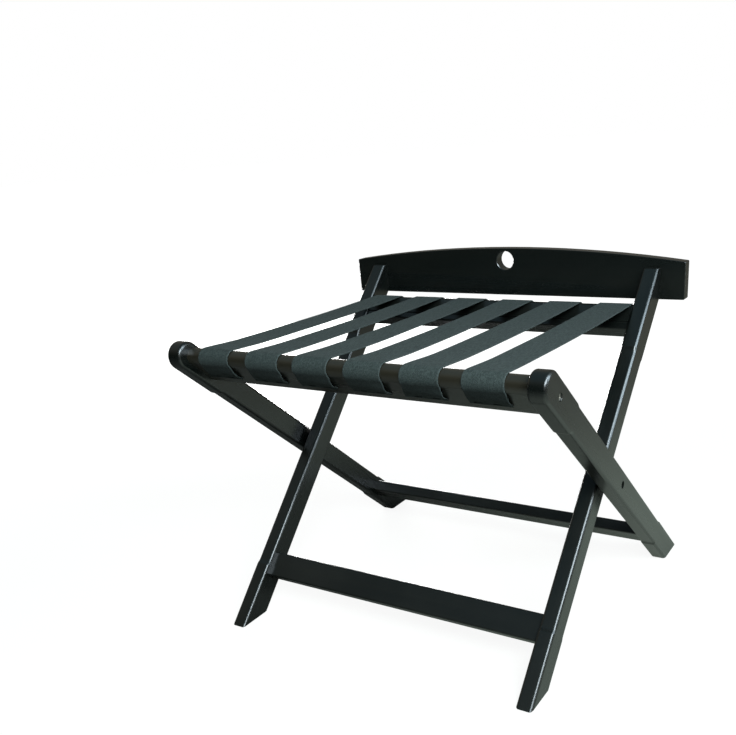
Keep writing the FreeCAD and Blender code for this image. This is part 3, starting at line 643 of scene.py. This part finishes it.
yarn = blended(tree, eased(tree, blotch.outputs["Fac"], 0.32, 0.68),
               (0.012, 0.020, 0.019, 1), (0.046, 0.062, 0.060, 1))
# Painted shade: the hollows between the cords are mixed darker.
weave_hollow_shade = sums(tree, "SUBTRACT", 0.55, sums(tree, "MULTIPLY", weave, 0.55))
yarn = blended(tree, weave_hollow_shade, yarn, (0.016, 0.021, 0.022, 1))
yarn = blended(tree, sums(tree, "MULTIPLY", rim, 0.10), yarn, (0.115, 0.140, 0.150, 1))
yarn = blended(tree, sums(tree, "MULTIPLY", fibre.outputs["Fac"], 0.18), yarn,
               (0.12, 0.14, 0.14, 1))
yarn = blended(tree, sums(tree, "MULTIPLY", dust["Specks"], 0.25), yarn, (0.3, 0.3, 0.28, 1))
tree.links.new(yarn, shader.inputs["Base Color"])
shader.inputs["Roughness"].default_value = 0.78
shader.inputs["Specular IOR Level"].default_value = 0.12
shader.inputs["Sheen Weight"].default_value = 0.05
shader.inputs["Sheen Roughness"].default_value = 0.45
shader.inputs["Sheen Tint"].default_value = (0.75, 0.85, 0.9, 1)
height = sums(tree, "ADD", weave, sums(tree, "MULTIPLY", fibre.outputs["Fac"], 0.3))
relief = add(tree, "Bump", {"Height": height, "Strength": 0.35, "Distance": 0.0004})
tree.links.new(relief.outputs[0], shader.inputs["Normal"])
print("material:", webbing.name, "nodes:", len(tree.nodes))

# %% [markdown]
# Each strap stands for its imported solid, which is hidden, and gets the
# webbing finish.

# %% Straps on the bench
for number, strap in enumerate(straps):
    strap.data.materials.append(webbing)
    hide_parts("strap_%d" % (number + 1))
    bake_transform(strap)
print("straps placed:", len(straps))

# %% [markdown]
# ## The felt back
#
# A sheet of grey felt, 3 mm thick, covers the back of the headboard and keeps
# it from marking the wall.  It is cut 1 mm inside the board's outline: straight
# foot and ends, an arched top, and a U-shaped notch round the hand hole.  The
# outline is drawn point by point, filled, given its thickness, and its back
# rim is bevelled, because felt never keeps a sharp edge.

# %% Outline of the felt
BOARD_BACK = 252.258
FELT_HALF = 307.8
FELT_FOOT = 448.94
FELT_SHOULDER = 504.94
FELT_CROWN = 524.94
HOLE_HEIGHT = 505.845
NOTCH = 17.5
NOTCH_ROUND = 4.0
FELT_CORNER = 1.0
SHOULDER_SLOPE = 6      # degrees, about what the arch has at the board's ends
CORNER_DROP = 0.93      # of the corner's middle, under that sloping edge
OUTLINE_STEP = 6
arch_rise = FELT_CROWN - FELT_SHOULDER
arch_radius = (FELT_HALF ** 2 + arch_rise ** 2) / (2 * arch_rise)


def arch(x):
    """Height of the arched top at a place across the board."""
    return FELT_CROWN - arch_radius + math.sqrt(arch_radius ** 2 - x * x)


def corner_arc(x, z, radius, start, end, count):
    """Points on an arc round x, z, from one angle in degrees to another."""
    turns = [math.radians(start + (end - start) * step / count) for step in range(count + 1)]
    return [(x + radius * math.cos(turn), z + radius * math.sin(turn)) for turn in turns]


def half_outline():
    """Right half, from the foot's middle to the bottom of the notch."""
    corner_x = FELT_HALF - FELT_CORNER
    notch_x = NOTCH + NOTCH_ROUND
    points = [(x, FELT_FOOT) for x in range(0, 300, OUTLINE_STEP)]
    points += corner_arc(corner_x, FELT_FOOT + FELT_CORNER, FELT_CORNER, -90, 0, 3)
    points += [(FELT_HALF, z) for z in range(456, 500, OUTLINE_STEP)]
    points += corner_arc(corner_x, FELT_SHOULDER - CORNER_DROP, FELT_CORNER,
                         0, 90 - SHOULDER_SLOPE, 3)
    points += [(x, arch(x)) for x in range(300, 22, -OUTLINE_STEP)]
    points += corner_arc(notch_x, arch(notch_x) - NOTCH_ROUND, NOTCH_ROUND, 90, 180, 5)
    points += corner_arc(0, HOLE_HEIGHT, NOTCH, 0, -90, 14)
    return points


right = half_outline()
outline = right + [(-x, z) for x, z in right[-2:0:-1]]
print("felt outline points:", len(outline))


# %% Build the felt
FELT_THICKNESS = 3 * MM
FELT_RIM = 0.8 * MM
FRAY = 0.18
FRAYS_PER_MM = 0.35


def felt_mesh():
    """The outline filled, made thick and softened round its back rim."""
    mesh = bmesh.new()
    flat = []
    for x, z in outline:
        fray = FRAY * noise.noise(Vector((x * FRAYS_PER_MM, z * FRAYS_PER_MM, 0)))
        flat.append(mesh.verts.new(((x + fray) * MM, BOARD_BACK * MM, (z + fray) * MM)))
    front = mesh.faces.new(flat)
    back = bmesh.ops.extrude_face_region(mesh, geom=[front])["geom"]
    moved = [item for item in back if isinstance(item, bmesh.types.BMVert)]
    bmesh.ops.translate(mesh, verts=moved, vec=(0, FELT_THICKNESS, 0))
    rim = [edge for edge in mesh.edges if all(vert in moved for vert in edge.verts)]
    bmesh.ops.bevel(mesh, geom=rim, offset=FELT_RIM, segments=3, profile=0.5,
                    affect="EDGES")
    bmesh.ops.recalc_face_normals(mesh, faces=mesh.faces)
    for face in mesh.faces:
        face.smooth = len(face.verts) < 6  # the two large flat faces stay flat
    data = bpy.data.meshes.new("felt_back")
    mesh.to_mesh(data)
    mesh.free()
    return data


felt = bpy.data.objects.new("felt_back", felt_mesh())
bpy.context.scene.collection.objects.link(felt)
print("felt faces:", len(felt.data.polygons))

# %% [markdown]
# Felt is a mat of tangled fibres of several greys.  Three noises of different
# sizes make it: hairs, tufts and slow cloudiness.  A strong fine bump and a
# sheen give the soft look of wool at a slant.

# %% Felt material
felt_grey, tree, shader = open_material("Blue grey felt")
place = add(tree, "TexCoord").outputs["Object"]
hair = add(tree, "TexNoise", {"Vector": place, "Scale": 1400.0, "Detail": 4.0,
                              "Distortion": 2.5})
tuft = add(tree, "TexNoise", {"Vector": place, "Scale": 260.0, "Detail": 4.0,
                              "Distortion": 1.0})
cloud = add(tree, "TexNoise", {"Vector": place, "Scale": 22.0, "Detail": 3.0})
dust = use(tree, dust_group, Vector=place)
wool = blended(tree, eased(tree, hair.outputs["Fac"], 0.38, 0.62), (0.36, 0.40, 0.47, 1),
               (0.54, 0.60, 0.67, 1))
tufts = eased(tree, tuft.outputs["Fac"], 0.55, 0.7)
wool = blended(tree, sums(tree, "MULTIPLY", tufts, 0.45), wool, (0.26, 0.29, 0.35, 1))
wool = blended(tree, sums(tree, "MULTIPLY", cloud.outputs["Fac"], 0.25), wool,
               (0.62, 0.68, 0.74, 1))
wool = blended(tree, sums(tree, "MULTIPLY", dust["Specks"], 0.5), wool, (0.75, 0.78, 0.8, 1))
tree.links.new(wool, shader.inputs["Base Color"])
shader.inputs["Roughness"].default_value = 0.95
shader.inputs["Specular IOR Level"].default_value = 0.15
shader.inputs["Sheen Weight"].default_value = 0.35
shader.inputs["Sheen Roughness"].default_value = 0.6
mat_height = sums(tree, "MULTIPLY_ADD", hair.outputs["Fac"], 0.6, tuft.outputs["Fac"])
relief = add(tree, "Bump", {"Height": mat_height, "Strength": 0.6, "Distance": 0.0006})
tree.links.new(relief.outputs[0], shader.inputs["Normal"])
felt.data.materials.append(felt_grey)
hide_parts("felt_pad")
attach(felt, "inner_frame")
print("material:", felt_grey.name)

# %% [markdown]
# ## Floor, light and view
#
# The bench stands on a plain pale sheet of paper.  For the camera the paper is
# lifted to white, and it still takes the bench's shadow.  Reflections see a
# painted glow on it rather than lamplight: brightest on the right, below the
# lamp, fading to the left, to the front and far off, with a painted shade under
# the bench and a painted tint, green near and warm far.  Rays that light the
# bench see only the plain paper, so the white backdrop adds no light.

# %% Floor material
floor_paint, tree, shader = open_material("Studio floor")
rays = add(tree, "LightPath")
mirrored = sums(tree, "MAXIMUM", rays.outputs["Is Glossy Ray"],
                rays.outputs["Is Transmission Ray"])
spot = add(tree, "TexCoord").outputs["Object"]
spot_parts = add(tree, "SeparateXYZ", {0: spot})
far = add(tree, "VectorMath", {0: spot}, operation="LENGTH").outputs["Value"]
white_lift = eased(tree, far, 0.7, 2.2, 0.90, 1.0)
# Painted reflection: a glow for glossy rays, brighter to the right and back, with a painted shade
# under the bench.
from_left = eased(tree, spot_parts.outputs["X"], -0.3, 0.5)
from_front = eased(tree, spot_parts.outputs["Y"], -1.5, -0.4)
painted_bench_shade = eased(tree, far, 0.1, 0.6, 0.6, 1.0)
fading = eased(tree, far, 0.4, 1.4, 0.42, 0.15)
painted_mirror_glow = sums(tree, "MULTIPLY", sums(tree, "MULTIPLY", from_left, from_front),
                   sums(tree, "MULTIPLY", painted_bench_shade, fading))
# Camera rays see the white backdrop; reflections see the painted glow and its painted tint.
lift = sums(tree, "ADD", sums(tree, "MULTIPLY", rays.outputs["Is Camera Ray"], white_lift),
            sums(tree, "MULTIPLY", mirrored, painted_mirror_glow))
painted_glow_colour = blended(tree, eased(tree, far, 0.5, 2.0), (0.82, 1.0, 0.84, 1),
                        (1.0, 0.97, 0.74, 1))
white_and_glow_colour = blended(tree, mirrored, (1, 1, 1, 1), painted_glow_colour)
shader.inputs["Base Color"].default_value = (0.12, 0.126, 0.118, 1)
shader.inputs["Roughness"].default_value = 0.9
shader.inputs["Specular IOR Level"].default_value = 0.1
glow = add(tree, "Emission", {"Color": white_and_glow_colour, "Strength": lift})
both = add(tree, "AddShader", {0: shader.outputs[0], 1: glow.outputs[0]})
tree.links.new(both.outputs[0], tree.nodes["Material Output"].inputs["Surface"])
print("material:", floor_paint.name, "nodes:", len(tree.nodes))

# %% Floor sheet
FLOOR_RADIUS = 30.0
floor_mesh = bmesh.new()
bmesh.ops.create_circle(floor_mesh, cap_ends=True, segments=96, radius=FLOOR_RADIUS)
floor_data = bpy.data.meshes.new("studio_floor")
floor_mesh.to_mesh(floor_data)
floor_mesh.free()
floor = bpy.data.objects.new("studio_floor", floor_data)
floor.data.materials.append(floor_paint)
bpy.context.scene.collection.objects.link(floor)
print("floor radius:", FLOOR_RADIUS, "m")

# %% [markdown]
# The room is a soft warm grey that turns darker and bluer overhead, and it is
# nearly black in front, like a studio with its lamps off on that side.  Black
# lacquer shows this: the headboard faces the dark side and stays black, and
# faces that look at the bright paper turn grey.  The camera itself sees a white
# backdrop.

# %% Room
world = bpy.data.worlds.new("Studio room")
bpy.context.scene.world = world
world.use_nodes = True
tree = world.node_tree
backdrop = tree.nodes["Background"]
direction = add(tree, "TexCoord").outputs["Generated"]
height = add(tree, "SeparateXYZ", {0: direction}).outputs["Z"]
room = blended(tree, eased(tree, height, 0.45, 0.90), (0.21, 0.20, 0.17, 1),
               (0.085, 0.14, 0.17, 1))
toward_front = add(tree, "VectorMath", {0: direction, 1: (-0.45, -0.89, -0.10)},
                   operation="DOT_PRODUCT").outputs["Value"]
room = blended(tree, eased(tree, toward_front, 0.45, 0.95), room, (0.018, 0.022, 0.020, 1))
rays = add(tree, "LightPath")
tree.links.new(blended(tree, rays.outputs["Is Camera Ray"], room, (1, 1, 1, 1)),
               backdrop.inputs["Color"])
print("world:", world.name)


# %% [markdown]
# Softboxes light the bench.  The long narrow one on the right draws the
# bright lines on the rounded edges of the legs: its long side runs the way
# the reflection wanders as an edge turns.  It is there to be mirrored only,
# so matt cloth doesn't take its light.  The front one stands high: it
# lights the noses and the tops of the straps and leaves the tabs below the
# rail in their own shade.  It isn't mirrored, but a weaker one beside it is,
# so the edges gleam softly.  The one behind lights the felt; it stands lower
# than the seat, so the straps don't catch it.

# %% Softboxes
BENCH_MIDDLE = (0, 0, 0.35)
SEAT_MIDDLE = (0, 0, 0.45)
UPRIGHT = (0, 0, 1)


def softbox(name, place, aim, long_side, size, power, colour):
    """A flat lamp that faces a point, its second size lying along long_side."""
    lamp = bpy.data.lights.new(name, "AREA")
    lamp.shape = "RECTANGLE"
    lamp.size, lamp.size_y = size
    lamp.energy = power
    lamp.color = colour
    holder = bpy.data.objects.new(name, lamp)
    back = (Vector(place) - Vector(aim)).normalized()
    width = Vector(long_side).cross(back).normalized()
    turn = Matrix((width, back.cross(width), back)).transposed().to_4x4()
    holder.matrix_world = Matrix.Translation(place) @ turn
    bpy.context.scene.collection.objects.link(holder)
    return holder


side_lamp = softbox("softbox_right", (1.48, 0.20, 1.32), BENCH_MIDDLE,
                    (0.45, 0.63, -0.63), (0.44, 2.60), 30, (0.70, 0.88, 1.0))
side_lamp.visible_diffuse = False
front_lamp = softbox("softbox_front", (1.40, -1.27, 1.62), BENCH_MIDDLE, UPRIGHT,
                     (1.5, 0.5), 82, (0.89, 1.0, 1.0))
front_lamp.visible_glossy = False
sheen_lamp = softbox("softbox_front_sheen", (1.45, -1.05, 1.65), BENCH_MIDDLE, UPRIGHT,
                     (1.7, 0.8), 56, (0.80, 0.93, 1.0))
sheen_lamp.visible_diffuse = False
back_lamp = softbox("softbox_back", (-1.60, 1.90, 0.22), SEAT_MIDDLE, UPRIGHT,
                    (1.3, 0.30), 56, (1.0, 1.0, 1.0))
print("lamps:", side_lamp.name, front_lamp.name, sheen_lamp.name, back_lamp.name)

# %% [markdown]
# ## Camera
#
# The view is from the front right, a little above the bench.  The position,
# the three turns and the lens come from measuring how the bench's own
# straight edges run together.  The bench sits low and right in the picture,
# so the frame is shifted off the lens's axis.

# %% Camera
YAW = math.radians(32.85)
PITCH = math.radians(-23.78)
ROLL = math.radians(-4.72)
CAMERA_PLACE = (0.67838, -1.10850, 0.72454)
PICTURE_WIDTH = 736
PICTURE_HEIGHT = 735
LENS_PIXELS = 850.52    # the focal length
AXIS_X = 432.59         # where the lens's axis meets the picture, from its left edge
AXIS_Y = 502.47         # and from its top edge
SENSOR_WIDTH = 36.0
forward = Vector((-math.sin(YAW) * math.cos(PITCH), math.cos(YAW) * math.cos(PITCH),
                  math.sin(PITCH)))
level = Vector((math.cos(YAW), math.sin(YAW), 0))
upward = level.cross(forward)
right_axis = math.cos(ROLL) * level + math.sin(ROLL) * upward
up_axis = -math.sin(ROLL) * level + math.cos(ROLL) * upward
lens = bpy.data.cameras.new("view")
lens.sensor_width = SENSOR_WIDTH
lens.lens = LENS_PIXELS * SENSOR_WIDTH / PICTURE_WIDTH
lens.shift_x = (PICTURE_WIDTH / 2 - AXIS_X) / PICTURE_WIDTH
lens.shift_y = (AXIS_Y - PICTURE_HEIGHT / 2) / PICTURE_WIDTH
camera = bpy.data.objects.new("view", lens)
turn = Matrix((right_axis, up_axis, -forward)).transposed().to_4x4()
camera.matrix_world = Matrix.Translation(CAMERA_PLACE) @ turn
bpy.context.scene.collection.objects.link(camera)
bpy.context.scene.camera = camera
bpy.context.scene.view_settings.view_transform = "Standard"
print("lens:", round(lens.lens, 2), "mm")
print("shift:", round(lens.shift_x, 4), round(lens.shift_y, 4))
